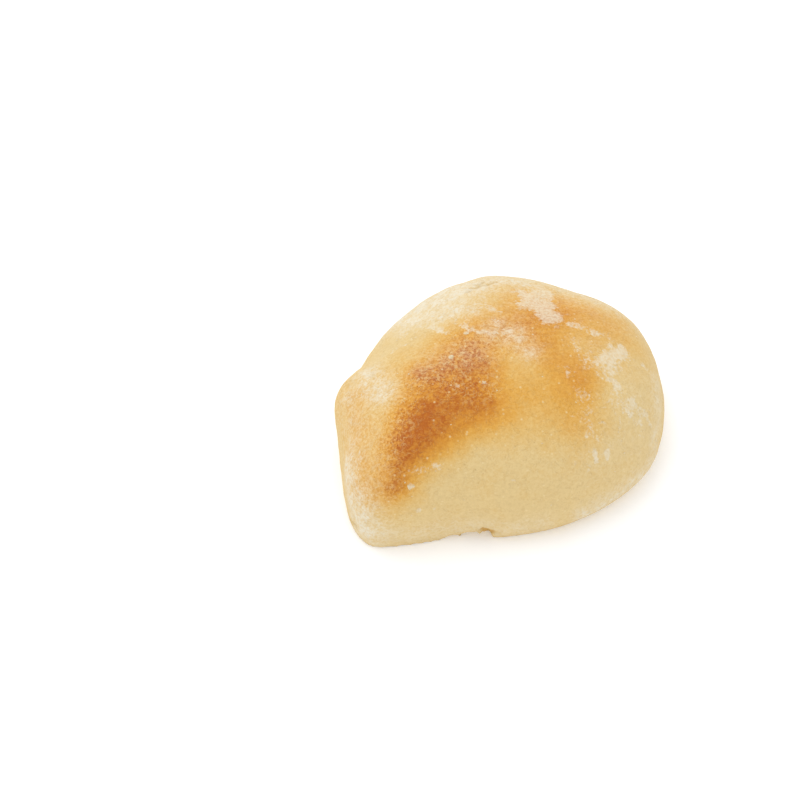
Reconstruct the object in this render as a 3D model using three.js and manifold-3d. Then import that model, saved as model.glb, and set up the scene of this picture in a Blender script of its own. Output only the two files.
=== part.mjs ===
// A domed half of a soft bread roll, sliced level through its middle and lying on its cut face.
// Millimetres, +Z up. The origin is under the middle of the half, on the plane of the cut.
import * as THREE from "three";
import { mergeVertices } from "three/addons/utils/BufferGeometryUtils.js";
import Module from "manifold-3d";

// Driving dimensions.
const CROWN_HEIGHT = 42; // top of the dome above the cut
const WIDEST_HEIGHT = 7; // the side stands out furthest here and tucks under below it
const HEART_HEIGHT = 4; // swellings push out from this point under the crown

// The widest line round the dough, anticlockwise from its right side. x and y are measured from
// the crown. full is how full the side is: 2 is an ellipse, and more is a squarer shoulder.
// tuck is how far the cut edge lies inside the widest line.
const WIDEST_LINE = [
  { x: 54.5, y: -1.5, full: 2.25, tuck: 5 }, // right side, which bulges over the cut
  { x: 49, y: 28.5, full: 2.3, tuck: 4 },
  { x: 28, y: 47, full: 1.9, tuck: 3 },
  { x: -2.5, y: 54, full: 1.95, tuck: 3 }, // back
  { x: -23.5, y: 42, full: 2.2, tuck: 3 },
  { x: -38.5, y: 28, full: 1.95, tuck: 3 },
  { x: -47, y: 11.5, full: 2.05, tuck: 3 },
  { x: -51, y: -3, full: 2.5, tuck: 2 }, // left side, under the shoulder
  { x: -50.5, y: -23.5, full: 2.65, tuck: 1 },
  { x: -47.5, y: -40, full: 2.7, tuck: 0.5 }, // front left corner, the blunt end of the roll
  { x: -41.5, y: -48, full: 2.65, tuck: 0.5 },
  { x: -29.5, y: -48, full: 2.6, tuck: 1 },
  { x: -12, y: -45, full: 2.4, tuck: 1 }, // front
  { x: 1.5, y: -46, full: 2.2, tuck: 2 },
  { x: 24, y: -41, full: 2.1, tuck: 3 },
  { x: 46, y: -25, full: 2.15, tuck: 4 },
];

// Swellings and hollows of the skin: each is centred at a point, spreads over wide and lifts the
// skin by out.
const SWELLINGS = [
  { at: new THREE.Vector3(-48, -4.5, 22.5), wide: 8, out: 3.5 }, // shoulder
  { at: new THREE.Vector3(-42, 9.5, 27), wide: 6, out: -1.5 }, // valley from the outline
  { at: new THREE.Vector3(-37, -5, 36), wide: 5, out: -1.5 }, // to where it fades on the dome
];

// The skin is torn along the front edge: a ragged strip of bites that ends in a notch.
const TEAR = {
  from: 0.716, // shares of the way round
  to: 0.7565,
  bites: 6,
  shallow: 0.8, // depth of the first bite and of the notch
  deep: 2.8,
  rise: 1.5, // height as a share of the depth
  length: 2.4, // half of a bite's and of the notch's length along the edge
  notch: 1.8,
  seed: 5,
};

// Pores of the crumb that the knife opened: egg-shaped bowls in the cut face.
const PORES = {
  count: 18,
  narrow: 2.6, // lengths of the first and the last
  wide: 6.4,
  squash: 0.75, // width and depth as shares of the length
  depth: 0.34,
  clearOfEdge: 5,
  apart: 3,
  seed: 29,
};
const RESTING_SPOT = 7; // radius of the plain crumb under the crown
const SMALLEST_SPHERE = { around: 10, rows: 6 }; // sides of a pore or bite

// Fineness of the mesh.
const GRID = 44; // squares across the dome
const TUCK_ROWS = 3; // rows of faces from the widest line down to the cut

const CRUST_COLOUR = 0xdcae72;

const widestLine = new THREE.CatmullRomCurve3(
  WIDEST_LINE.map((p) => new THREE.Vector3(p.x, p.y, 0)),
  true,
);
const sideForm = new THREE.CatmullRomCurve3(
  WIDEST_LINE.map((p) => new THREE.Vector3(p.full, p.tuck, 0)),
  true,
);

// The widest line's place and the side's form at a share of the way round, from 0 to 1.
function edgeAt(turn) {
  const t = widestLine.getUtoTmapping(turn);
  const place = widestLine.getPoint(t);
  const form = sideForm.getPoint(t);
  return { x: place.x, y: place.y, full: form.x, tuck: form.y };
}

// Moves a point of the smooth dough out, or in, by the swellings near it. The cut stays level.
function swell(point) {
  const lift = SWELLINGS.reduce(
    (sum, s) => sum + s.out * Math.exp(-point.distanceToSquared(s.at) / (2 * s.wide ** 2)),
    0,
  );
  const outwards = point.clone().sub(new THREE.Vector3(0, 0, HEART_HEIGHT)).normalize();
  outwards.z *= THREE.MathUtils.smoothstep(point.z, 0, WIDEST_HEIGHT);
  return point.addScaledVector(outwards, lift);
}

// A point of the dome: reach is 0 at the crown and 1 at the widest line.
function domePoint(turn, reach) {
  const { x, y, full } = edgeAt(turn);
  const angle = (reach * Math.PI) / 2;
  const out = Math.sin(angle) ** (2 / full);
  const up = reach < 1 ? Math.cos(angle) ** (2 / full) : 0;
  return swell(new THREE.Vector3(x * out, y * out, THREE.MathUtils.lerp(WIDEST_HEIGHT, CROWN_HEIGHT, up)));
}

// A point of the side below the widest line: share is 1 there and 0 at the cut.
function tuckPoint(turn, share) {
  const { x, y, tuck } = edgeAt(turn);
  const inwards = 1 - (tuck * (1 - share) ** 2) / Math.hypot(x, y);
  return swell(new THREE.Vector3(x * inwards, y * inwards, WIDEST_HEIGHT * share));
}

// Carries a square of GRID by GRID cells to the round dome, so that the faces stay even in size.
function discPlace(i, j) {
  const a = (2 * i) / GRID - 1;
  const b = (2 * j) / GRID - 1;
  if (a === 0 && b === 0) return { turn: 0, reach: 0 };
  const sideways = Math.abs(a) > Math.abs(b);
  const reach = Math.max(Math.abs(a), Math.abs(b));
  const eighth = sideways ? b / a / 8 : 1 / 4 - a / b / 8;
  const half = (sideways ? a : b) < 0 ? 1 / 2 : 0;
  return { turn: (eighth + half + 1) % 1, reach };
}

// The square's border cells, anticlockwise from above.
function borderCells() {
  const steps = [...Array(GRID).keys()];
  return [
    ...steps.map((s) => [GRID, s]),
    ...steps.map((s) => [GRID - s, GRID]),
    ...steps.map((s) => [0, GRID - s]),
    ...steps.map((s) => [s, 0]),
  ];
}

// The whole skin and the plain cut face, as one closed mesh.
function doughGeometry() {
  const points = [];
  const faces = [];
  const add = (point) => points.push(point) - 1;
  // Four corners, anticlockwise from outside, are split along the shorter diagonal.
  const addSquare = (a, b, c, d) => {
    const short = points[a].distanceTo(points[c]) < points[b].distanceTo(points[d]);
    faces.push(...(short ? [a, b, c, a, c, d] : [a, b, d, b, c, d]));
  };

  const cell = (i, j) => i * (GRID + 1) + j;
  for (let i = 0; i <= GRID; i++) {
    for (let j = 0; j <= GRID; j++) {
      const { turn, reach } = discPlace(i, j);
      add(domePoint(turn, reach));
    }
  }
  for (let i = 0; i < GRID; i++) {
    for (let j = 0; j < GRID; j++) {
      addSquare(cell(i, j), cell(i + 1, j), cell(i + 1, j + 1), cell(i, j + 1));
    }
  }

  const border = borderCells();
  let upper = border.map(([i, j]) => cell(i, j));
  for (let row = 1; row <= TUCK_ROWS; row++) {
    const lower = border.map(([i, j]) => add(tuckPoint(discPlace(i, j).turn, 1 - row / TUCK_ROWS)));
    upper.forEach((_, k) => {
      const next = (k + 1) % upper.length;
      addSquare(lower[k], lower[next], upper[next], upper[k]);
    });
    upper = lower;
  }

  const middle = add(new THREE.Vector3());
  upper.forEach((corner, k) => faces.push(middle, upper[(k + 1) % upper.length], corner));
  return new THREE.BufferGeometry().setFromPoints(points).setIndex(faces);
}

// Repeatable draws between 0 and 1.
function drawsFrom(seed) {
  let state = seed;
  return () => {
    state = (Math.imul(state, 1664525) + 1013904223) >>> 0;
    return state / 2 ** 32;
  };
}

// An egg-shaped hollow at a place, its three radii given, turned about the vertical.
function hollow(place, radii, bearing) {
  return new THREE.SphereGeometry(1, SMALLEST_SPHERE.around, SMALLEST_SPHERE.rows)
    .rotateX(Math.PI / 2)
    .scale(...radii)
    .rotateZ(bearing)
    .translate(place.x, place.y, place.z);
}

// Pores are drawn one by one, and a draw too near the edge, the resting spot or another pore is dropped.
function poreHollows() {
  const draw = drawsFrom(PORES.seed);
  const placed = [];
  while (placed.length < PORES.count) {
    const turn = draw();
    const place = tuckPoint(turn, 0).multiplyScalar(Math.sqrt(draw()));
    const share = placed.length / (PORES.count - 1);
    const radius = THREE.MathUtils.lerp(PORES.narrow, PORES.wide, share ** 2) / 2;
    const bearing = draw() * Math.PI;
    const edge = tuckPoint(turn, 0).length() - place.length() - radius;
    const clear = placed.every((p) => p.place.distanceTo(place) > p.radius + radius + PORES.apart);
    if (edge < PORES.clearOfEdge || place.length() < RESTING_SPOT + radius || !clear) continue;
    placed.push({ place, radius, bearing });
  }
  return placed.map(({ place, radius, bearing }) =>
    hollow(place, [radius, radius * PORES.squash, 2 * radius * PORES.depth], bearing),
  );
}

// The tear is a row of uneven bites along the cut edge that grow deeper and end in the notch.
function tearHollows() {
  const draw = drawsFrom(TEAR.seed);
  return [...Array(TEAR.bites).keys()].map((k) => {
    const share = k / (TEAR.bites - 1);
    const place = tuckPoint(THREE.MathUtils.lerp(TEAR.from, TEAR.to, share), 0);
    const uneven = share < 1 ? 0.7 + 0.6 * draw() : 1;
    const depth = THREE.MathUtils.lerp(TEAR.shallow, TEAR.deep, share) * uneven;
    const length = share < 1 ? TEAR.length * uneven : TEAR.notch;
    return hollow(place, [length, depth, depth * TEAR.rise], 0);
  });
}

const manifold = await Module();
manifold.setup();

// A closed mesh as a solid, joined on position alone.
function toSolid(geometry) {
  const bare = geometry.clone();
  bare.deleteAttribute("normal");
  bare.deleteAttribute("uv");
  const merged = mergeVertices(bare);
  return new manifold.Manifold(
    new manifold.Mesh({
      numProp: 3,
      vertProperties: merged.attributes.position.array,
      triVerts: Uint32Array.from(merged.index.array),
    }),
  );
}

function toGeometry(solid) {
  const mesh = solid.getMesh();
  const geometry = new THREE.BufferGeometry();
  geometry.setAttribute("position", new THREE.BufferAttribute(mesh.vertProperties, mesh.numProp));
  geometry.setIndex(new THREE.BufferAttribute(mesh.triVerts, 1));
  return geometry;
}

// Brings the middle of the half's box over the origin, with the cut face at height 0.
function centreOnCut(geometry) {
  geometry.computeBoundingBox();
  const middle = geometry.boundingBox.getCenter(new THREE.Vector3());
  return geometry.translate(-middle.x, -middle.y, -geometry.boundingBox.min.z);
}

function makeRollHalf() {
  const hollows = [...poreHollows(), ...tearHollows()];
  const solid = hollows.reduce(
    (dough, geometry) => dough.subtract(toSolid(geometry)),
    toSolid(doughGeometry()),
  );
  const geometry = centreOnCut(toGeometry(solid));
  geometry.computeVertexNormals();
  const crust = new THREE.MeshStandardMaterial({ color: CRUST_COLOUR, roughness: 0.85, metalness: 0 });
  const rollHalf = new THREE.Mesh(geometry, crust);
  rollHalf.name = "roll_half";
  return rollHalf;
}

const group = new THREE.Group();
group.add(makeRollHalf());

export default group;
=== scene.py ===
"""A domed half of a soft, floured bread roll, sliced level and lying on its cut face.

Metres, +Z up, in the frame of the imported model, with the origin under the half on the plane of the cut.
"""
import math

import bmesh
import bpy
import numpy as np
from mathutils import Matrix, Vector, noise
from mathutils.bvhtree import BVHTree


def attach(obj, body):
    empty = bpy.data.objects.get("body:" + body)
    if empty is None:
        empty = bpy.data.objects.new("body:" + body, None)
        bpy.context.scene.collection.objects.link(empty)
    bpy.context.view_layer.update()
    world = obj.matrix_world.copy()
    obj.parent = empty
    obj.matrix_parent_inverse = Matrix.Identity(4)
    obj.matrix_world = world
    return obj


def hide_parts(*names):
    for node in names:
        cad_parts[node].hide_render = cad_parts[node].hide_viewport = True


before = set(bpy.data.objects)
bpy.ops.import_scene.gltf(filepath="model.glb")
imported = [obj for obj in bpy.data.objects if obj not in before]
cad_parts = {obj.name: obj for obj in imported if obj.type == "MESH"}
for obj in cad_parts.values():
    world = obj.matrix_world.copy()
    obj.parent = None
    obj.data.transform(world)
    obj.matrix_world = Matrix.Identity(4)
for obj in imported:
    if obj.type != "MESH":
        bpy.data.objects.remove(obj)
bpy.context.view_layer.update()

# ---------------------------------------------------------------------------------------------------
# The camera: it stands in front of the half and looks down on it at the photograph's angle, through a
# long lens. It comes first, because the marks on the crust are placed by the pixels that show them.
MM = 0.001
PHOTO_SIDE = 800  # pixels
VIEW_CENTRE = Vector((-32.7, -8.7, 22.1)) * MM
VIEW_ELEVATION = math.radians(50)
VIEW_DISTANCE = 640 * MM
LENS = 90  # millimetres, as is the sensor's width
SENSOR = 36

to_camera = Vector((0, -math.cos(VIEW_ELEVATION), math.sin(VIEW_ELEVATION)))
camera_place = VIEW_CENTRE + to_camera * VIEW_DISTANCE
camera_data = bpy.data.cameras.new("camera")
camera_data.lens = LENS
camera_data.sensor_width = SENSOR
camera = bpy.data.objects.new("camera", camera_data)
camera.location = camera_place
camera.rotation_euler = to_camera.to_track_quat("Z", "Y").to_euler()
bpy.context.scene.collection.objects.link(camera)
bpy.context.scene.camera = camera


def line_of_sight(pixel):
    """The direction in which the camera sees a pixel of the photograph."""
    width_of_pixel = SENSOR / LENS / PHOTO_SIDE
    right = Vector((1, 0, 0))
    up = to_camera.cross(right)
    across = (pixel[0] - PHOTO_SIDE / 2) * width_of_pixel
    down = (pixel[1] - PHOTO_SIDE / 2) * width_of_pixel
    return (right * across - up * down - to_camera).normalized()


# ---------------------------------------------------------------------------------------------------
# The half roll: one piece of soft white dough, shaped by hand, dusted with flour, baked until its ridge
# browned, and sliced level. A thin dry crust covers the soft crumb, which shows where the roll was cut.
FACE_WIDTH = 0.6 * MM  # of the fine mesh
SAME_POINT = 0.001 * MM
SHARP_BEND = math.radians(38)  # an edge that bends more stays an edge, such as the cut's
FLAT_ENOUGH = math.radians(20)  # for two triangles to become one four-sided face
SQUARE_ENOUGH = math.radians(40)

coarse = bpy.data.meshes.new("bread_coarse")
shell = bmesh.new()
shell.from_mesh(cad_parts["roll_half"].data)
bmesh.ops.remove_doubles(shell, verts=shell.verts, dist=SAME_POINT)
bmesh.ops.join_triangles(
    shell, faces=shell.faces, angle_face_threshold=FLAT_ENOUGH, angle_shape_threshold=SQUARE_ENOUGH
)
crease = shell.edges.layers.float.new("crease_edge")
for edge in shell.edges:
    if edge.is_manifold and edge.calc_face_angle() > SHARP_BEND:
        edge[crease] = 1
shell.to_mesh(coarse)
shell.free()

bread = bpy.data.objects.new("bread", coarse)
bpy.context.scene.collection.objects.link(bread)
rounded = bread.modifiers.new("rounded", "SUBSURF")
rounded.levels = 2
even = bread.modifiers.new("even", "REMESH")
even.mode = "VOXEL"
even.voxel_size = FACE_WIDTH
fine = bpy.data.meshes.new_from_object(bread.evaluated_get(bpy.context.evaluated_depsgraph_get()))
fine.name = "bread"
bread.modifiers.clear()
bread.data = fine
bpy.data.meshes.remove(coarse)
fine.shade_smooth()


def read_points(mesh):
    """Places and normals of a mesh's points, as two arrays with a row for each point."""
    places = np.empty(len(mesh.vertices) * 3)
    normals = np.empty(len(mesh.vertices) * 3)
    mesh.vertices.foreach_get("co", places)
    mesh.vertex_normals.foreach_get("vector", normals)
    return places.reshape(-1, 3), normals.reshape(-1, 3)


def faces_of(mesh):
    """The corners of a mesh's faces, for a search tree."""
    return [face.vertices[:] for face in mesh.polygons]


skin, skin_normals = read_points(fine)
skin_search = BVHTree.FromPolygons(skin.tolist(), faces_of(fine))
STEPS_TO_OUTLINE = 6


def seen_at(pixel):
    """The place on the skin that the photograph shows at a pixel, or nearly shows beside the outline."""
    sight = line_of_sight(pixel)
    place = skin_search.ray_cast(camera_place, sight)[0]
    if place is None:
        distance = VIEW_DISTANCE
        for _ in range(STEPS_TO_OUTLINE):
            place = skin_search.find_nearest(camera_place + sight * distance)[0]
            distance = (place - camera_place) @ sight
    return np.array(place)


def top_at(x, y):
    """The place on top of the skin at x and y, in millimetres, for what the photograph hides."""
    return np.array(skin_search.ray_cast(Vector((x * MM, y * MM, 1)), Vector((0, 0, -1)))[0])


def fade(values, start, end):
    """0 up to start, 1 from end, and a smooth rise between."""
    part = np.clip((values - start) / (end - start), 0, 1)
    return part * part * (3 - 2 * part)


LEE = np.array((0.75, -0.6, -0.25))  # down the front right slope, where colours fade out more slowly
LEE_TURN = 0.6
TINY = 1e-12


def stroke(line, reach, lee_reach=None):
    """1 along a line over the skin, fading to 0 beyond its reach in millimetres.

    Each point of the line is a pixel of the photograph, or a place on the skin that it hides.
    """
    lee_reach = lee_reach or reach
    places = [point if isinstance(point, np.ndarray) else seen_at(point) for point in line]
    nearest = np.full(len(skin), np.inf)
    for start, end in zip(places, places[1:] + places[-1:]):
        run = end - start
        part = np.clip((skin - start) @ run / max(run @ run, TINY), 0, 1)
        away = skin - start - part[:, None] * run
        distance = np.linalg.norm(away, axis=1)
        side = away @ LEE / np.maximum(distance, TINY)
        width = reach + (lee_reach - reach) * fade(side, -LEE_TURN, LEE_TURN)
        nearest = np.minimum(nearest, distance / (width * MM))
    return np.exp(-nearest ** 2)


def lay_over(layers):
    """Layers of a colour laid one over the other, each a strength, a line and its reach."""
    bare = np.ones(len(skin))
    for strength, line, *reaches in layers:
        bare = bare * (1 - strength * stroke(line, *reaches))
    return 1 - bare


# Where the oven browned the crust: most along the ridge and the front of the crown. Each layer is a
# strength, a line, its reach, and where it differs its reach down the front right slope.
BROWNED = {
    "ridge": (0.62, [(394, 484), (402, 456), (412, 430), (428, 408)], 9, 8),
    "heart of the ridge": (0.92, [(412, 440), (428, 418)], 5.5),
    "foot of the ridge": (0.50, [(396, 488), (402, 458)], 3.4),
    "behind the ridge": (0.35, [(392, 440), (402, 405)], 6),
    "front of the crown": (0.80, [(422, 374), (450, 368), (476, 362)], 7.5),
    "middle of the crown": (0.72, [(440, 410), (474, 398)], 11, 9),
    "front slope": (0.60, [(424, 444), (450, 426), (478, 412)], 7, 8),
    "dip in the crown": (0.45, [(442, 388), (472, 384)], 6),
    "crown": (0.66, [(462, 345), (500, 328), (546, 316)], 12, 11),
    "right lobe": (0.42, [(540, 345), (560, 365), (580, 378)], 9, 7),
    "golden front": (0.38, [(500, 392), (530, 394), (562, 396)], 11, 9),
    "straw front": (0.18, [(520, 424), (572, 432)], 9),
    "right slope": (0.20, [(572, 310), (622, 330)], 12, 13),
    "above the lobe": (0.22, [(555, 345), (575, 360)], 9),
    "beside the lobe": (0.22, [(585, 385), (590, 420)], 10, 8),
    "left wall": (0.38, [(356, 402), (362, 485)], 12, 9),
    "valley": (0.16, [(390, 374), (400, 356)], 5),
    "back": (0.35, [top_at(10, 22), top_at(30, 12)], 14),
}
browning = lay_over(BROWNED.values())

# Where the skin dried before it browned, so that its grain shows most: behind the ridge and crown.
DRIED = {
    "behind the ridge and crown": (0.85, [(388, 440), (408, 394), (438, 366), (500, 342)], 10, 5.5),
    "foot of the ridge": (0.60, [(378, 486), (386, 446)], 6),
    "top of the crown": (0.60, [(470, 340), (525, 335)], 9),
    "dip in the crown": (0.60, [(455, 385), (485, 385)], 6),
    "left wall": (0.45, [(352, 405), (362, 490)], 12),
    "back": (0.40, [top_at(-14, 30), top_at(20, 30)], 15),
}
dryness = lay_over(DRIED.values())

# Where flour lies: a thin film over the pale sides and the back, and patches that noise makes ragged.
# Along the foot the film is partly painted light: it also pales the crust where bounce light from the
# floor brightens it.
FILM_OF_FLOUR_AND_BOUNCE_LIGHT = {
    "upper left slope": (0.80, [(398, 322), (430, 303), (464, 290)], 7),
    "under the upper left slope": (0.60, [(408, 324), (440, 316), (466, 310)], 4),
    "behind the crown": (0.45, [(482, 281), (530, 285)], 4),
    "crown": (0.35, [(495, 330), (518, 335), (530, 352)], 4),
    "left wall": (0.20, [(345, 400), (350, 440)], 6),
    "left wall, low": (0.70, [(348, 470), (352, 500), (361, 526)], 6.5),
    "left corner": (0.30, [(366, 508), (372, 532)], 5),
    "left bump": (0.60, [(366, 374), (384, 392)], 5),
    "right slope": (0.08, [(590, 345), (625, 380), (640, 440), (600, 455)], 10),
    "front of the crown": (0.14, [(425, 362), (485, 350), (505, 318)], 7),
    "beside the ridge": (0.12, [(352, 398), (372, 440), (368, 490)], 7),
    "right edge": (0.35, [(655, 380), (655, 440)], 4),
    "right foot, flour and painted bounce light": (0.50, [(585, 514), (625, 490), (652, 462)], 4.5),
    "front foot, flour and painted bounce light": (0.25, [(365, 534), (440, 530), (540, 526)], 5),
    "back": (0.50, [top_at(-20, 30), top_at(10, 44), top_at(34, 32)], 16),
}
film = lay_over(FILM_OF_FLOUR_AND_BOUNCE_LIGHT.values())
PATCHES_OF_FLOUR = {
    "large patch, behind": (1.00, [(529, 296), (545, 294)], 4.2),
    "large patch, middle": (1.00, [(527, 304), (546, 303)], 3.6),
    "large patch, in front": (1.00, [(541, 307), (552, 318)], 4.4),
    "right patch": (0.95, [(608, 358), (622, 351)], 3.6),
    "streak above the lobe": (0.62, [(573, 325), (587, 333), (605, 336)], 2.6),
    "right edge": (0.75, [(641, 364), (647, 370)], 1.3),
    "under the right patch": (0.70, [(612, 380), (619, 387)], 1.3),
    "lobe": (0.36, [(562, 367), (570, 374)], 2.6),
    "crown": (0.38, [(493, 325), (520, 335), (532, 350)], 5),
    "above the lobe": (0.52, [(578, 345), (590, 362), (608, 372)], 4.5),
    "beside the lobe": (0.38, [(582, 395), (592, 422)], 5),
    "right wall": (0.45, [(630, 405), (648, 425)], 6),
    "right slope": (0.24, [(615, 390), (630, 450), (595, 455)], 9),
    "streak on the upper left": (0.80, [(431, 328), (446, 333)], 1.6),
    "under the upper left slope": (0.50, [(400, 336), (430, 324), (462, 318)], 3),
    "above the valley": (0.42, [(393, 350), (412, 342)], 3),
    "behind the crown": (0.55, [(448, 302), (478, 300)], 5),
    "streak on the crown": (0.60, [(462, 327), (478, 333), (500, 333)], 1.8),
    "streak behind the crown": (0.55, [(478, 306), (500, 312)], 2.2),
    "left bump, behind": (0.85, [(360, 372), (372, 374)], 2.0),
    "left bump, in front": (0.75, [(383, 388), (376, 398)], 1.8),
    "left bump": (0.55, [(368, 376), (386, 390)], 3.6),
    "left edge": (0.40, [(345, 385), (350, 420)], 3),
    "left wall": (0.60, [(359, 449), (360, 460)], 1.6),
    "left wall, low": (0.70, [(352, 515), (354, 525)], 1.2),
    "under the ridge": (0.50, [(411, 470), (440, 466)], 1.8),
    "left one of the pair": (1.00, [(595, 453), (596, 461)], 1.0),
    "right one of the pair": (0.95, [(608, 452), (608, 459)], 0.8),
    "back": (0.45, [top_at(-20, 30), top_at(10, 44), top_at(34, 32)], 15),
}
SPOT_STRENGTH = 0.8
FLOUR_SPOTS = [  # pixel, and reach in millimetres
    ((451, 357), 1.2), ((458, 386), 1.0), ((484, 382), 0.9), ((466, 334), 0.8), ((411, 486), 1.0),
    ((419, 510), 1.0), ((434, 509), 0.8), ((514, 448), 0.6), ((512, 480), 0.7), ((587, 436), 0.7),
]
spots = [(SPOT_STRENGTH, [pixel], reach) for pixel, reach in FLOUR_SPOTS]
flour = lay_over([*PATCHES_OF_FLOUR.values(), *spots])

# The cut face: its outline is read off the lowest ring of the mesh, from the middle outwards.
SLICES = 720
SLICES_EASED = range(-3, 4)
LOWEST_RING = 0.3 * MM
DEEPEST_PORE = 3 * MM
RIM_WIDTH = 0.4  # millimetres
WALL_NEAR = 2.5  # millimetres from the rim, where the crust's foot may be taken for the cut
WALL_TURN = 0.35  # from 0 for a face that looks down to 1 for one that looks outwards
angles = np.arctan2(skin[:, 1], skin[:, 0])
slice_of = ((angles / (2 * math.pi) + 0.5) * SLICES).astype(int) % SLICES
radii = np.hypot(skin[:, 0], skin[:, 1])
outline = np.zeros(SLICES)
low = skin[:, 2] < LOWEST_RING
np.maximum.at(outline, slice_of[low], radii[low])
outline = np.max([np.roll(outline, step) for step in SLICES_EASED], axis=0)
outline = np.mean([np.roll(outline, step) for step in SLICES_EASED], axis=0)
from_rim = (outline[slice_of] - radii) / MM
looks_out = np.sum(skin_normals[:, :2] * skin[:, :2], axis=1) / radii
foot_of_crust = (from_rim < WALL_NEAR) & (looks_out > WALL_TURN)
on_cut = (from_rim > RIM_WIDTH) & (skin[:, 2] < DEEPEST_PORE) & ~foot_of_crust

# Bubbles that the knife opened, over and above the largest, which the solid has. Sizes in millimetres.
PORES = 330
NARROWEST_PORE = 0.7  # from the middle to the side
WIDEST_PORE = 1.9
FEW_ARE_WIDE = 4
LONGEST_WAY = 0.7  # the squeeze along the longest pores
PORE_DEPTH = 0.6  # of its half width
PORES_BEGIN = 0.8  # from the rim
PORES_FULL = 2.0
PORE_SEED = 11
pore_draw = np.random.default_rng(PORE_SEED)
raised = np.zeros(len(skin))
cut_points = np.flatnonzero(on_cut)
room_at = fade(from_rim[cut_points], PORES_BEGIN, PORES_FULL)
for _ in range(PORES):
    centre = skin[pore_draw.choice(cut_points)]
    half_width = NARROWEST_PORE + (WIDEST_PORE - NARROWEST_PORE) * pore_draw.random() ** FEW_ARE_WIDE
    turn = pore_draw.uniform(0, math.pi)
    long_way = np.array((math.cos(turn), math.sin(turn))) * pore_draw.uniform(LONGEST_WAY, 1)
    short_way = np.array((-math.sin(turn), math.cos(turn)))
    offset = (skin[cut_points, :2] - centre[:2]) / MM / half_width
    distance = np.hypot(offset @ long_way, offset @ short_way)
    hollow = np.sqrt(np.clip(1 - distance ** 2, 0, 1)) * half_width * PORE_DEPTH
    raised[cut_points] = np.maximum(raised[cut_points], hollow * room_at)


def unevenness(size, seed):
    """Smooth random values over the skin, mostly between -0.5 and 0.5, in lumps of one size."""
    shift = Vector(BETWEEN_SEEDS) * seed
    return np.array([noise.noise(Vector(place) / size + shift) for place in skin])


# The relief: the crust is a little uneven, has short wrinkles where it dried, and is torn where the
# knife left it. It fades out towards the foot, which keeps the solid's outline.
BETWEEN_SEEDS = (17.3, 9.1, 4.7)
RELIEF = [(12 * MM, 0.45 * MM, 1), (4 * MM, 0.14 * MM, 2), (1.8 * MM, 0.06 * MM, 3)]  # size, depth, seed
RIGHT_SHOULDER = (588, 298)
SHOULDER_REACH = 11  # millimetres
SHOULDER_RISE = 0.65 * MM
WRINKLES = [
    [(471, 288), (476, 288), (481, 285), (487, 285), (491, 283), (496, 282)],
    [(467, 292), (470, 291)],
    [(475, 284), (479, 284), (484, 281)],
    [(350, 520), (356, 526)],
]
WRINKLE_REACH = 0.7  # millimetres
WRINKLE_DEPTH = 0.5 * MM
FOOT = (0.6 * MM, 5 * MM)  # heights between which the relief fades in
TORN_STRIP = [(456, 536), (470, 533), (484, 531)]
TORN_REACH = 1.6  # millimetres
TORN_LUMP = 1.3 * MM
TORN_DEPTH = 1.6 * MM
TORN_SEED = 5
TORN_HOLE = [(485, 532), (491, 533)]
HOLE_REACH = 1.7  # millimetres
HOLE_DEPTH = 0.9 * MM
height = sum(depth * unevenness(size, seed) for size, depth, seed in RELIEF)
height = height + SHOULDER_RISE * stroke([RIGHT_SHOULDER], SHOULDER_REACH)
wrinkled = np.max([stroke(wrinkle, WRINKLE_REACH) for wrinkle in WRINKLES], axis=0)
height = height - WRINKLE_DEPTH * wrinkled
height = height * ~on_cut * fade(skin[:, 2], *FOOT)
torn = stroke(TORN_STRIP, TORN_REACH)
hole = stroke(TORN_HOLE, HOLE_REACH)
height = height + torn * unevenness(TORN_LUMP, TORN_SEED) * TORN_DEPTH - hole * HOLE_DEPTH
shaped = skin + skin_normals * height[:, None]
shaped[:, 2] = np.maximum(shaped[:, 2] + raised * MM, 0)
fine.vertices.foreach_set("co", shaped.ravel())
fine.update()

# What the material needs to know of each point: how baked, dry, wrinkled and floured it is, how far
# crumb shows there, how far it is from the cut's rim, and how deep it lies in a bubble, in millimetres,
# or in the torn hole, where the crumb gets painted shade.
TORN_BARENESS = 0.6
TORN_EDGE = (0.3, 0.7)
HOLE_EDGE = (0.3, 0.6)
FAR_FROM_RIM = 9  # millimetres
bared = np.maximum(TORN_BARENESS * fade(torn, *TORN_EDGE), fade(hole, *HOLE_EDGE))
for name, values in {
    "browning": browning,
    "dryness": dryness,
    "wrinkled": wrinkled,
    "film": film,
    "flour": flour,
    "crumb": np.maximum(on_cut, bared),
    "rim": np.where(on_cut, from_rim, FAR_FROM_RIM),
    "pit": np.where(on_cut, shaped[:, 2] / MM, hole),
}.items():
    layer = fine.attributes.new(name, "FLOAT", "POINT")
    layer.data.foreach_set("value", values.astype(np.float32))

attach(bread, "root")
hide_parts("roll_half")


def add_node(graph, kind, inputs=None, **options):
    """A new node with its options, and its inputs set to values or linked to other nodes' outputs."""
    made = graph.nodes.new("ShaderNode" + kind)
    for name, value in options.items():
        setattr(made, name, value)
    for name, value in (inputs or {}).items():
        if isinstance(value, bpy.types.NodeSocket):
            graph.links.new(value, made.inputs[name])
        else:
            made.inputs[name].default_value = value
    return made


def calculate(graph, operation, *values):
    """The output of a Math node."""
    return add_node(graph, "Math", dict(enumerate(values)), operation=operation).outputs[0]


def between(graph, part, ends):
    """The value that lies a part of the way from one end to the other."""
    return calculate(graph, "MULTIPLY_ADD", part, ends[1] - ends[0], ends[0])


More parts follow.
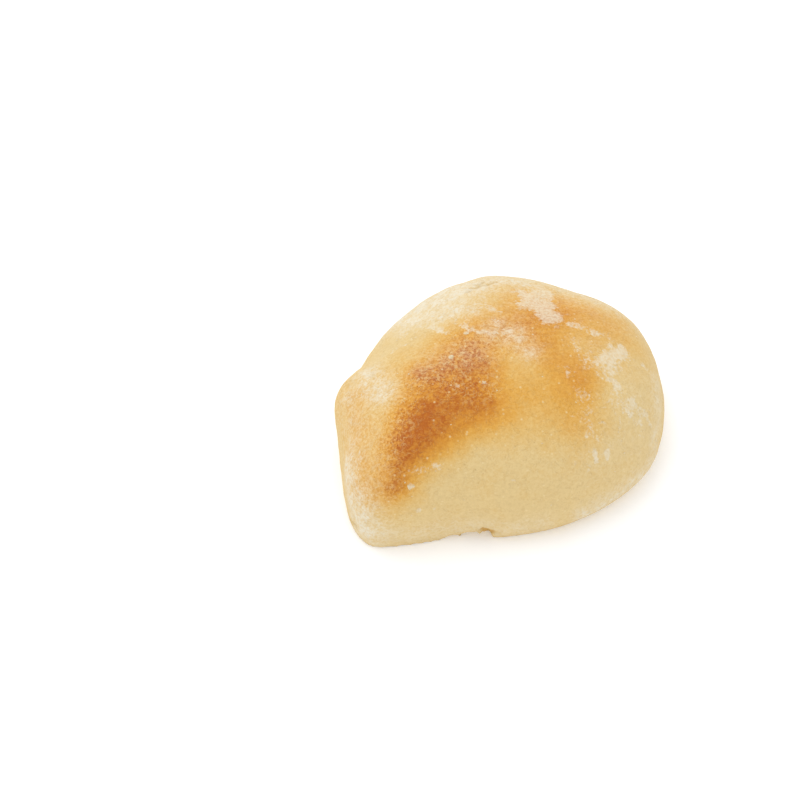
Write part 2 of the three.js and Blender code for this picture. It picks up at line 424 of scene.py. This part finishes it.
def rescale(graph, value, span, new_span=(0, 1)):
    """A value carried smoothly from one span to another, and held at its ends."""
    inputs = {"Value": value, "From Min": span[0], "From Max": span[1]}
    inputs |= {"To Min": new_span[0], "To Max": new_span[1]}
    return add_node(graph, "MapRange", inputs, interpolation_type="SMOOTHSTEP").outputs["Result"]


def mix_colours(graph, factor, first, second):
    """The colour between two others; the sockets are numbered, as their names repeat."""
    return add_node(graph, "Mix", {0: factor, 6: first, 7: second}, data_type="RGBA").outputs[2]


def object_place(graph):
    """Where on the piece a point is."""
    return add_node(graph, "TexCoord").outputs["Object"]


def speckle(graph, size, detail=2, roughness=0.5):
    """Random values from 0 to 1 over the piece, in lumps of a size in millimetres."""
    inputs = {"Vector": object_place(graph), "Scale": 1 / (size * MM)}
    inputs |= {"Detail": detail, "Roughness": roughness}
    return add_node(graph, "TexNoise", inputs).outputs["Fac"]


def paint(graph, name):
    """A value that is kept at the mesh's points."""
    return add_node(graph, "Attribute", attribute_name=name).outputs["Fac"]


# Dry dough's grain, which the crust and the flour share: fine mottling, and short pale hairs of flour
# that run where a wider noise crosses its middle and break off where another one falls.
HAIR_SCALE = 0.55  # of the mottling's
HAIR_WIDTH = (0.01, 0.06)  # of the noise, from a hair's middle to its side
HAIR_ENDS = (0.45, 0.58)
HAIR_HEIGHT = 0.6
MOTTLING_HEIGHT = 0.7
MIDDLE_OF_NOISE = 0.5
MOST_OF_NOISE = (0.30, 0.70)
NEARLY_ALL_OF_NOISE = (0.25, 0.75)
grain = bpy.data.node_groups.new("dough grain", "ShaderNodeTree")
grain.interface.new_socket("Size", in_out="INPUT", socket_type="NodeSocketFloat")
for output in ("Shade", "Hairs", "Height"):
    grain.interface.new_socket(output, in_out="OUTPUT", socket_type="NodeSocketFloat")
grain_in = grain.nodes.new("NodeGroupInput")
grain_out = grain.nodes.new("NodeGroupOutput")
grain_place = object_place(grain)
scale = calculate(grain, "DIVIDE", 1 / MM, grain_in.outputs["Size"])
hair_scale = calculate(grain, "MULTIPLY", scale, HAIR_SCALE)
mottling = add_node(
    grain, "TexNoise", {"Vector": grain_place, "Scale": scale, "Detail": 2, "Distortion": 0.6}
).outputs["Fac"]
bends = add_node(
    grain, "TexNoise", {"Vector": grain_place, "Scale": hair_scale, "Detail": 1, "Distortion": 0.8}
).outputs["Fac"]
break_inputs = {"Vector": grain_place, "Scale": hair_scale, "Detail": 0, "W": 3}
breaks = add_node(grain, "TexNoise", break_inputs, noise_dimensions="4D").outputs["Fac"]
off_middle = calculate(grain, "ABSOLUTE", calculate(grain, "SUBTRACT", bends, MIDDLE_OF_NOISE))
whole_hairs = rescale(grain, off_middle, HAIR_WIDTH, (1, 0))
short_hairs = calculate(grain, "MULTIPLY", whole_hairs, rescale(grain, breaks, HAIR_ENDS))
mottling_height = rescale(grain, mottling, NEARLY_ALL_OF_NOISE, (0, MOTTLING_HEIGHT))
height_of_grain = calculate(grain, "MULTIPLY_ADD", short_hairs, HAIR_HEIGHT, mottling_height)
grain.links.new(rescale(grain, mottling, MOST_OF_NOISE, (-1, 1)), grain_out.inputs["Shade"])
grain.links.new(short_hairs, grain_out.inputs["Hairs"])
grain.links.new(height_of_grain, grain_out.inputs["Height"])


def dough_grain(graph, size):
    """Shade, from -1 to 1, and hairs and height, from 0 to 1, of grain of a size in millimetres."""
    node = add_node(graph, "Group", node_tree=grain)
    node.inputs["Size"].default_value = size
    return node.outputs["Shade"], node.outputs["Hairs"], node.outputs["Height"]


# Crust: from pale straw through gold and orange to brown, more strongly grained where it is dry.
CRUST_COLOURS = [
    (0.00, (0.710, 0.530, 0.250)),
    (0.25, (0.710, 0.460, 0.155)),
    (0.50, (0.690, 0.363, 0.068)),
    (0.75, (0.615, 0.262, 0.032)),
    (1.00, (0.440, 0.118, 0.012)),
]
HAIR_TAN = (0.74, 0.50, 0.22, 1)
COARSE_GRAIN = 0.98  # millimetres, as are the sizes below
FINE_GRAIN = 0.55
BLOTCHES = 7
MOTTLES = 3.4
FINE_SHADE_PART = 0.6
FINE_HAIR_PART = 0.75
BLOTCH_STRENGTH = (-0.15, 0.15)
MOTTLE_STRENGTH = 0.35  # on fully browned crust
GRAIN_STRENGTH = (0.045, 0.130)  # on moist skin, and on dry skin
GRAIN_DARKENING = (-0.03, -0.06)
HAIR_STRENGTH = (0.12, 0.78)

crust = bpy.data.materials.new("crust_and_crumb")
crust.use_nodes = True
dough = crust.node_tree
shader = dough.nodes["Principled BSDF"]

shade, hairs, grain_height = dough_grain(dough, COARSE_GRAIN)
fine_shade, fine_hairs, _ = dough_grain(dough, FINE_GRAIN)
both_shades = calculate(dough, "MULTIPLY_ADD", fine_shade, FINE_SHADE_PART, shade)
mottle = speckle(dough, MOTTLES, detail=5, roughness=0.62)
baked = paint(dough, "browning")
dry = paint(dough, "dryness")
blotches = between(dough, speckle(dough, BLOTCHES, detail=4), BLOTCH_STRENGTH)
colour_place = calculate(dough, "ADD", baked, blotches)
baked_mottle = calculate(dough, "MULTIPLY", calculate(dough, "SUBTRACT", mottle, MIDDLE_OF_NOISE), baked)
colour_place = calculate(dough, "MULTIPLY_ADD", baked_mottle, MOTTLE_STRENGTH, colour_place)
grain_strength = between(dough, dry, GRAIN_STRENGTH)
colour_place = calculate(dough, "MULTIPLY_ADD", both_shades, grain_strength, colour_place)
ramp = add_node(dough, "ValToRGB", {"Fac": colour_place})
while len(ramp.color_ramp.elements) < len(CRUST_COLOURS):
    ramp.color_ramp.elements.new(0.5)
for element, (position, colour) in zip(ramp.color_ramp.elements, CRUST_COLOURS):
    element.position = position
    element.color = (*colour, 1)
brightness = calculate(dough, "MULTIPLY_ADD", both_shades, between(dough, dry, GRAIN_DARKENING), 1)
crust_colour = add_node(
    dough, "HueSaturation", {"Color": ramp.outputs["Color"], "Value": brightness}
).outputs["Color"]
all_hairs = calculate(dough, "MAXIMUM", hairs, calculate(dough, "MULTIPLY", fine_hairs, FINE_HAIR_PART))
hair_part = calculate(dough, "MULTIPLY", all_hairs, between(dough, dry, HAIR_STRENGTH))
crust_colour = mix_colours(dough, hair_part, crust_colour, HAIR_TAN)

# Small pale dots, where bubbles of the dough came up under the skin.
DOT_YELLOW = (0.80, 0.63, 0.34, 1)
DOT_SPACING = 2.4  # millimetres
DOT_WIDTH = (0.03, 0.24)  # of the spacing, from where it fades to where it ends
DOT_STRENGTH = 0.70
DOT_CHANCE = (0.3, 0.8)
cells = add_node(dough, "TexVoronoi", {"Scale": 1 / (DOT_SPACING * MM), "Vector": object_place(dough)})
chance = add_node(dough, "SeparateColor", {"Color": cells.outputs["Color"]}).outputs[0]
dots = rescale(dough, cells.outputs["Distance"], DOT_WIDTH, (DOT_STRENGTH, 0))
dots = calculate(dough, "MULTIPLY", dots, rescale(dough, chance, DOT_CHANCE))
crust_colour = mix_colours(dough, dots, crust_colour, DOT_YELLOW)

# Flour on the crust: the thin film, partly painted bounce light along the foot, and the patches, which
# break up where the grain stands out.
FLOUR = (0.76, 0.68, 0.52, 1)
CRUMBLES = 0.9  # millimetres
FILM_UNEVENNESS = (0.5, 1.4)
SHADES_UNDER_FILM = (-1.3, 1.3)
FILM_OVER_SHADES = (1.5, 0.5)
MOTTLE_IN_PATCH = 1.7
PATCH_EDGE = (1.70, 2.12)
PATCH_STRENGTH = 0.75
SHADES_UNDER_PATCH = (-1.5, 1.5)
PATCH_OVER_SHADES = (1.1, 0.6)
crumbly = speckle(dough, CRUMBLES, detail=3, roughness=0.6)
film_part = calculate(
    dough, "MULTIPLY", paint(dough, "film"), rescale(dough, mottle, MOST_OF_NOISE, FILM_UNEVENNESS)
)
film_over_grain = rescale(dough, both_shades, SHADES_UNDER_FILM, FILM_OVER_SHADES)
film_part = calculate(dough, "MULTIPLY", film_part, film_over_grain)
ragged = calculate(dough, "MULTIPLY_ADD", mottle, MOTTLE_IN_PATCH, paint(dough, "flour"))
ragged = calculate(dough, "ADD", crumbly, ragged)
patch_part = rescale(dough, ragged, PATCH_EDGE, (0, PATCH_STRENGTH))
patch_over_grain = rescale(dough, both_shades, SHADES_UNDER_PATCH, PATCH_OVER_SHADES)
patch_part = calculate(dough, "MULTIPLY", patch_part, patch_over_grain)
floured = calculate(dough, "MAXIMUM", film_part, patch_part)
crust_colour = mix_colours(dough, floured, crust_colour, FLOUR)

# Painted shade: the wrinkles are a little darker and browner than the flour about them, for the shade
# in their creases.
WRINKLE_SHADE = (0.50, 0.33, 0.12, 1)
WRINKLE_SHADE_STRENGTH = 0.45
shade_in_wrinkle = calculate(dough, "MULTIPLY", paint(dough, "wrinkled"), WRINKLE_SHADE_STRENGTH)
crust_colour = mix_colours(dough, shade_in_wrinkle, crust_colour, WRINKLE_SHADE)

# Crumb: cream to gold, with painted shade in its pores, its bubbles and the torn hole, and toasted
# brown along stretches of the cut's rim.
CRUMB_GOLD = (0.66, 0.43, 0.14, 1)
CRUMB_PALE = (0.70, 0.53, 0.27, 1)
BUBBLE_SHADE = (0.58, 0.32, 0.08, 1)
PORE_SHADE = (0.53, 0.39, 0.15, 1)
TOASTED_RIM = (0.53, 0.20, 0.04, 1)
CRUMB_CLOUDS = 6  # millimetres, as are the sizes of the pores
CLOUD_EDGE = (0.35, 0.65)
TINY_PORES = 1.2
TINY_PORE_EDGE = (0.50, 0.78)
TINY_PORE_STRENGTH = 0.75
SMALL_PORES = 3.2
SMALL_PORE_EDGE = (0.56, 0.76)
SMALL_PORE_STRENGTH = 0.8
BUBBLE_SIDE = (0.1, 1.3)  # depths in millimetres
RIM_LUMPS = 2.5  # millimetres
RIM_RAGGEDNESS = 1.4
TOASTED_WIDTH = (1.2, 2.4)
TOASTED_STRENGTH = 0.9
TOASTED_STRETCHES = 22  # millimetres
STRETCH_EDGE = (0.36, 0.60)
PALEST_STRETCH = 0.25
clouds = rescale(dough, speckle(dough, CRUMB_CLOUDS, detail=4), CLOUD_EDGE)
crumb_colour = mix_colours(dough, clouds, CRUMB_GOLD, CRUMB_PALE)
tiny_pores = rescale(dough, speckle(dough, TINY_PORES), TINY_PORE_EDGE, (0, TINY_PORE_STRENGTH))
small_pores = rescale(dough, speckle(dough, SMALL_PORES), SMALL_PORE_EDGE, (0, SMALL_PORE_STRENGTH))
# Painted shade: the tiny pores are darkened towards olive.
crumb_colour = mix_colours(dough, tiny_pores, crumb_colour, PORE_SHADE)
# Painted shade: the crumb is darker in the small pores, the deeper in a bubble and in the torn hole.
shade_in_bubble = calculate(dough, "MAXIMUM", rescale(dough, paint(dough, "pit"), BUBBLE_SIDE), small_pores)
crumb_colour = mix_colours(dough, shade_in_bubble, crumb_colour, BUBBLE_SHADE)
to_rim = calculate(dough, "MULTIPLY_ADD", speckle(dough, RIM_LUMPS), RIM_RAGGEDNESS, paint(dough, "rim"))
toasted = rescale(dough, to_rim, TOASTED_WIDTH, (TOASTED_STRENGTH, 0))
stretches = rescale(dough, speckle(dough, TOASTED_STRETCHES), STRETCH_EDGE, (PALEST_STRETCH, 1))
toasted = calculate(dough, "MULTIPLY", toasted, stretches)
crumb_colour = mix_colours(dough, toasted, crumb_colour, TOASTED_RIM)

# Crumb shows where the crust is gone. Both are matt, and flour most of all.
SHEEN = 0.2
FLOUR_COVER = (0, 0.7)
BARE_TO_FLOURED_ROUGHNESS = (0.72, 0.95)
bare = paint(dough, "crumb")
dough.links.new(mix_colours(dough, bare, crust_colour, crumb_colour), shader.inputs["Base Color"])
dough.links.new(rescale(dough, floured, FLOUR_COVER, BARE_TO_FLOURED_ROUGHNESS), shader.inputs["Roughness"])
shader.inputs["Specular IOR Level"].default_value = SHEEN

# Heights in millimetres: the grain, the flour lying on the crust, and the small bubbles of the crumb.
CRUST_RELIEF = [(grain_height, 0.10), (floured, 0.08), (dots, 0.05), (fine_shade, 0.02)]
CRUMB_RELIEF = [(tiny_pores, -0.3), (small_pores, -0.3), (mottle, 0.3), (crumbly, 0.3)]


def add_heights(graph, relief):
    """The sum of values, each times its height."""
    total = 0
    for value, part in relief:
        total = calculate(graph, "MULTIPLY_ADD", value, part, total)
    return total


crumb_height = calculate(dough, "MULTIPLY", add_heights(dough, CRUMB_RELIEF), bare)
covered = calculate(dough, "SUBTRACT", 1, bare)
surface_height = calculate(dough, "MULTIPLY_ADD", add_heights(dough, CRUST_RELIEF), covered, crumb_height)
bump = add_node(dough, "Bump", {"Height": surface_height, "Distance": MM})
dough.links.new(bump.outputs["Normal"], shader.inputs["Normal"])
fine.materials.append(crust)

# ---------------------------------------------------------------------------------------------------
# Flour flecks: little flat lumps of flour that clung to the damp skin of the dough and baked on. The
# largest lie where the photograph shows them, and the smallest anywhere on the crust.
FLECKS_SEEN = [  # pixel, long way and short way across in millimetres
    ((409, 487), 2.2, 1.3), ((413, 485), 1.0, 0.7), ((451, 357), 2.1, 1.6), ((466, 334), 2.2, 1.1),
    ((484, 382), 1.1, 0.6), ((353, 517), 1.0, 0.7), ((350, 512), 0.7, 0.5), ((661, 441), 1.5, 1.2),
]
SMALL_FLECKS = 80
SMALL_FLECK_WIDTH = (0.3, 0.6)  # millimetres
SMALL_FLECK_LENGTH = (1, 1.5)  # of its width
LOWEST_FLECK = 4 * MM
FLECK_SIDES = 9
FLECK_RAGGEDNESS = (0.7, 1.2)
FLECK_HEIGHT = 0.12  # of its short way across
FLECK_RINGS = [(1.0, -0.4), (0.85, 0.5), (0.45, 0.95)]  # parts of its reach and of its height
FLECK_SEED = 23
fleck_draw = np.random.default_rng(FLECK_SEED)
crust_search = BVHTree.FromPolygons(shaped.tolist(), faces_of(fine))
fleck_mesh = bmesh.new()


def add_fleck(place, normal, long_way, short_way):
    """One closed, ragged lens of flour, sunk a little into the skin."""
    normal = Vector(normal).normalized()
    along = normal.orthogonal().normalized()
    across = normal.cross(along)
    turn = fleck_draw.uniform(0, 2 * math.pi)
    long_axis = (along * math.cos(turn) + across * math.sin(turn)) * long_way / 2
    short_axis = (across * math.cos(turn) - along * math.sin(turn)) * short_way / 2
    reach = fleck_draw.uniform(*FLECK_RAGGEDNESS, FLECK_SIDES)
    rings = []
    for out, up in FLECK_RINGS:
        ring = []
        for side in range(FLECK_SIDES):
            angle = 2 * math.pi * side / FLECK_SIDES
            flat = (long_axis * math.cos(angle) + short_axis * math.sin(angle)) * reach[side] * out
            raised_by = normal * up * FLECK_HEIGHT * short_way
            ring.append(fleck_mesh.verts.new(Vector(place) + (flat + raised_by) * MM))
        rings.append(ring)
    fleck_mesh.faces.new(rings[0][::-1])
    fleck_mesh.faces.new(rings[-1])
    for lower, upper in zip(rings, rings[1:]):
        for side in range(FLECK_SIDES):
            after = (side + 1) % FLECK_SIDES
            fleck_mesh.faces.new((lower[side], lower[after], upper[after], upper[side]))


for pixel, long_way, short_way in FLECKS_SEEN:
    place, normal, _, _ = crust_search.find_nearest(seen_at(pixel))
    add_fleck(place, normal, long_way, short_way)
high_points = np.flatnonzero(~on_cut & (skin[:, 2] > LOWEST_FLECK))
for point in fleck_draw.choice(high_points, SMALL_FLECKS, replace=False):
    width = fleck_draw.uniform(*SMALL_FLECK_WIDTH)
    add_fleck(shaped[point], skin_normals[point], width * fleck_draw.uniform(*SMALL_FLECK_LENGTH), width)

fleck_data = bpy.data.meshes.new("flour_flecks")
fleck_mesh.to_mesh(fleck_data)
fleck_mesh.free()
fleck_data.shade_smooth()
flecks = bpy.data.objects.new("flour_flecks", fleck_data)
bpy.context.scene.collection.objects.link(flecks)
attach(flecks, "root")

FLOUR_DARK = (0.70, 0.53, 0.28, 1)
FLOUR_GRAIN = 0.5  # millimetres, as is its height
FLOUR_GRAIN_HEIGHT = 0.1
PALEST_PART = 0.8  # how far the palest of it turns from the dark to the pale flour
FLOUR_ROUGHNESS = 0.95
baked_flour = bpy.data.materials.new("baked_flour")
baked_flour.use_nodes = True
dust = baked_flour.node_tree
dust_shader = dust.nodes["Principled BSDF"]
dust_shade, _, dust_height = dough_grain(dust, FLOUR_GRAIN)
pale_part = rescale(dust, dust_shade, (-1, 1), (0, PALEST_PART))
dust.links.new(mix_colours(dust, pale_part, FLOUR_DARK, FLOUR), dust_shader.inputs["Base Color"])
dust_shader.inputs["Roughness"].default_value = FLOUR_ROUGHNESS
dust_bump = add_node(
    dust, "Bump", {"Height": calculate(dust, "MULTIPLY", dust_height, FLOUR_GRAIN_HEIGHT), "Distance": MM}
)
dust.links.new(dust_bump.outputs["Normal"], dust_shader.inputs["Normal"])
fleck_data.materials.append(baked_flour)

# ---------------------------------------------------------------------------------------------------
# The floor: the plain white sheet of a light table. It glows a little, which keeps shadows faint.
FLOOR_SIDE = 4.0
FLOOR_GAP = 0.05 * MM
SHEET_WHITE = (0.92, 0.935, 0.96, 1)
SHEET_ROUGHNESS = 0.9
SHEET_GLOW = 0.15
floor_mesh = bpy.data.meshes.new("floor")
half = FLOOR_SIDE / 2
corners = [(-half, -half, 0), (half, -half, 0), (half, half, 0), (-half, half, 0)]
floor_mesh.from_pydata(corners, [], [(0, 1, 2, 3)])
floor = bpy.data.objects.new("floor", floor_mesh)
bpy.context.scene.collection.objects.link(floor)
floor.location.z = -FLOOR_GAP
sheet = bpy.data.materials.new("white_sheet")
sheet.use_nodes = True
sheet_shader = sheet.node_tree.nodes["Principled BSDF"]
sheet_shader.inputs["Base Color"].default_value = SHEET_WHITE
sheet_shader.inputs["Roughness"].default_value = SHEET_ROUGHNESS
sheet_shader.inputs["Emission Color"].default_value = (1, 1, 1, 1)
sheet_shader.inputs["Emission Strength"].default_value = SHEET_GLOW
floor_mesh.materials.append(sheet)

# ---------------------------------------------------------------------------------------------------
# The light: a bright, even studio tent, with one large soft lamp above and behind to the left.
TENT_STRENGTH = 0.97
LAMP_POWER = 3  # watts
LAMP_SIDE = 0.9
LAMP_PLACE = Vector((-0.35, 0.35, 0.9))
tent = bpy.data.worlds.new("studio")
tent.use_nodes = True
tent.node_tree.nodes["Background"].inputs["Color"].default_value = (1, 1, 1, 1)
tent.node_tree.nodes["Background"].inputs["Strength"].default_value = TENT_STRENGTH
bpy.context.scene.world = tent

lamp_data = bpy.data.lights.new("soft_lamp", "AREA")
lamp_data.energy = LAMP_POWER
lamp_data.size = LAMP_SIDE
lamp = bpy.data.objects.new("soft_lamp", lamp_data)
lamp.location = LAMP_PLACE
lamp.rotation_euler = (LAMP_PLACE - VIEW_CENTRE).to_track_quat("Z", "Y").to_euler()
bpy.context.scene.collection.objects.link(lamp)
bpy.context.scene.view_settings.view_transform = "Standard"
